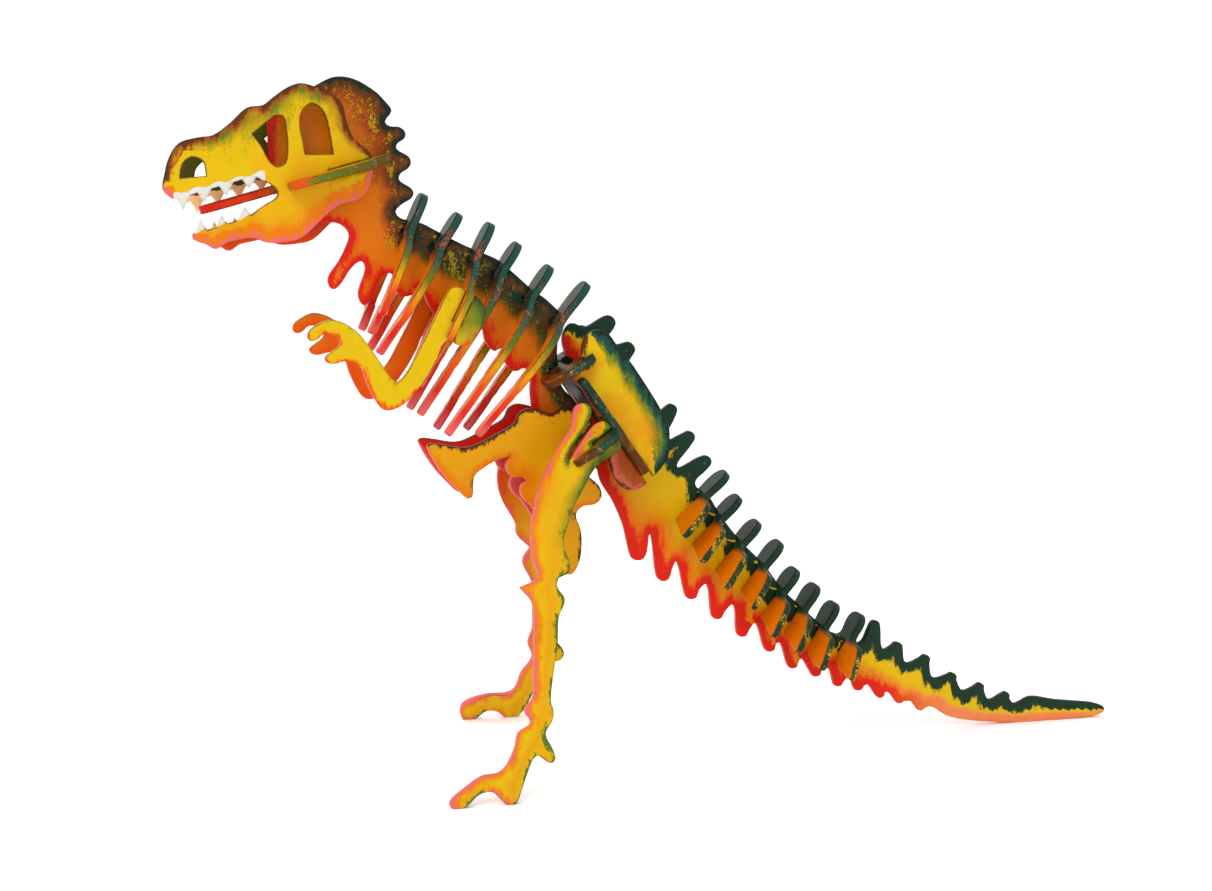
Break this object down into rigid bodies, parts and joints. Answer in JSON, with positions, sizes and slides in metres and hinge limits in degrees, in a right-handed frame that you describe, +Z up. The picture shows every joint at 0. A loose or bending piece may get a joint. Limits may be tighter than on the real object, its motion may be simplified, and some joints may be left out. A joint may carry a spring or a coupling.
{
  "type": "slot-together plywood dinosaur skeleton puzzle",
  "caption": "Standing tyrannosaur skeleton puzzle of flat painted plywood plates crossed in half-depth slots; ribs, limbs and tail plates pull off.",
  "frame": {"origin": "middle of the bounding box at floor level, where both feet and the tail rest", "axes": "+Z up, -X towards the head, +X towards the tail, -Y the dinosaur's left side"},
  "size_m": [0.3862, 0.119, 0.2566],
  "materials": {
    "arm_paint": "brushed gloss acrylic paint",
    "body_paint": "brushed gloss acrylic paint",
    "ilium_paint": "brushed gloss acrylic paint",
    "leg_paint": "brushed gloss acrylic paint",
    "pelvis_paint": "brushed gloss acrylic paint",
    "pubis_paint": "brushed gloss acrylic paint",
    "rib_paint": "brushed gloss acrylic paint",
    "skull_paint": "brushed gloss acrylic paint",
    "tail_paint": "brushed gloss acrylic paint",
    "tongue_paint": "brushed gloss acrylic paint",
    "vertebra_paint": "brushed gloss acrylic paint"
  },
  "bodies": {
    "skeleton_core": {"body_plate": "body_paint", "tail_plate": "tail_paint", "tongue_plate": "tongue_paint", "sacrum_plate": "pelvis_paint", "pelvis_shelf": "pelvis_paint", "hip_plate": "pelvis_paint", "left_ilium": "ilium_paint", "right_ilium": "ilium_paint"},
    "rib_1": {"rib_1": "rib_paint"},
    "rib_2": {"rib_2": "rib_paint"},
    "rib_3": {"rib_3": "rib_paint"},
    "rib_4": {"rib_4": "rib_paint"},
    "rib_5": {"rib_5": "rib_paint"},
    "rib_6": {"rib_6": "rib_paint"},
    "tail_vertebra_1": {"tail_vertebra_1": "vertebra_paint"},
    "tail_vertebra_2": {"tail_vertebra_2": "vertebra_paint"},
    "tail_vertebra_3": {"tail_vertebra_3": "vertebra_paint"},
    "tail_vertebra_4": {"tail_vertebra_4": "vertebra_paint"},
    "tail_vertebra_5": {"tail_vertebra_5": "vertebra_paint"},
    "tail_vertebra_6": {"tail_vertebra_6": "vertebra_paint"},
    "tail_vertebra_7": {"tail_vertebra_7": "vertebra_paint"},
    "tail_vertebra_8": {"tail_vertebra_8": "vertebra_paint"},
    "left_arm": {"left_arm": "arm_paint"},
    "right_arm": {"right_arm": "arm_paint"},
    "left_leg": {"left_leg": "leg_paint"},
    "right_leg": {"right_leg": "leg_paint"},
    "left_pubis": {"left_pubis": "pubis_paint"},
    "right_pubis": {"right_pubis": "pubis_paint"},
    "left_skull": {"left_skull": "skull_paint"},
    "right_skull": {"right_skull": "skull_paint"}
  },
  "joints": [
    {"name": "rib_1_pull", "type": "slide", "parent": "skeleton_core", "child": "rib_1", "axis": [0.3907, 0, 0.9205], "range_m": [0, 0.0068]},
    {"name": "rib_2_pull", "type": "slide", "parent": "skeleton_core", "child": "rib_2", "axis": [0.5299, 0, 0.848], "range_m": [0, 0.0061]},
    {"name": "rib_3_pull", "type": "slide", "parent": "skeleton_core", "child": "rib_3", "axis": [0.4384, 0, 0.8988], "range_m": [0, 0.0049]},
    {"name": "rib_4_pull", "type": "slide", "parent": "skeleton_core", "child": "rib_4", "axis": [0.5299, 0, 0.848], "range_m": [0, 0.006]},
    {"name": "rib_5_pull", "type": "slide", "parent": "skeleton_core", "child": "rib_5", "axis": [0.5563, 0, 0.831], "range_m": [0, 0.0054]},
    {"name": "rib_6_pull", "type": "slide", "parent": "skeleton_core", "child": "rib_6", "axis": [0.6225, 0, 0.7826], "range_m": [0, 0.0049]},
    {"name": "tail_vertebra_1_pull", "type": "slide", "parent": "skeleton_core", "child": "tail_vertebra_1", "axis": [0.7431, 0, 0.6691], "range_m": [0, 0.0132]},
    {"name": "tail_vertebra_2_pull", "type": "slide", "parent": "skeleton_core", "child": "tail_vertebra_2", "axis": [0.7071, 0, 0.7071], "range_m": [0, 0.0127]},
    {"name": "tail_vertebra_3_pull", "type": "slide", "parent": "skeleton_core", "child": "tail_vertebra_3", "axis": [0.6691, 0, 0.7431], "range_m": [0, 0.0122]},
    {"name": "tail_vertebra_4_pull", "type": "slide", "parent": "skeleton_core", "child": "tail_vertebra_4", "axis": [0.6361, 0, 0.7716], "range_m": [0, 0.0116]},
    {"name": "tail_vertebra_5_pull", "type": "slide", "parent": "skeleton_core", "child": "tail_vertebra_5", "axis": [0.5948, 0, 0.8039], "range_m": [0, 0.0111]},
    {"name": "tail_vertebra_6_pull", "type": "slide", "parent": "skeleton_core", "child": "tail_vertebra_6", "axis": [0.5592, 0, 0.829], "range_m": [0, 0.0105]},
    {"name": "tail_vertebra_7_pull", "type": "slide", "parent": "skeleton_core", "child": "tail_vertebra_7", "axis": [0.515, 0, 0.8572], "range_m": [0, 0.01]},
    {"name": "tail_vertebra_8_pull", "type": "slide", "parent": "skeleton_core", "child": "tail_vertebra_8", "axis": [0.4695, 0, 0.8829], "range_m": [0, 0.0094]},
    {"name": "left_arm_pull", "type": "slide", "parent": "rib_3", "child": "left_arm", "axis": [-0.4384, 0, -0.8988], "range_m": [0, 0.012]},
    {"name": "right_arm_pull", "type": "slide", "parent": "rib_3", "child": "right_arm", "axis": [-0.4384, 0, -0.8988], "range_m": [0, 0.012]},
    {"name": "left_leg_pull", "type": "slide", "parent": "skeleton_core", "child": "left_leg", "axis": [-0.8231, -0.1374, -0.551], "range_m": [0, 0.0105]},
    {"name": "right_leg_pull", "type": "slide", "parent": "skeleton_core", "child": "right_leg", "axis": [-0.8231, 0.1374, -0.551], "range_m": [0, 0.0105]},
    {"name": "left_pubis_pull", "type": "slide", "parent": "skeleton_core", "child": "left_pubis", "axis": [-0.831, 0, -0.5563], "range_m": [0, 0.0088]},
    {"name": "right_pubis_pull", "type": "slide", "parent": "skeleton_core", "child": "right_pubis", "axis": [-0.831, 0, -0.5563], "range_m": [0, 0.0088]},
    {"name": "left_skull_pull", "type": "slide", "parent": "skeleton_core", "child": "left_skull", "axis": [-0.9588, 0, -0.284], "range_m": [0, 0.0201]},
    {"name": "right_skull_pull", "type": "slide", "parent": "skeleton_core", "child": "right_skull", "axis": [-0.9588, 0, -0.284], "range_m": [0, 0.0217]}
  ]
}
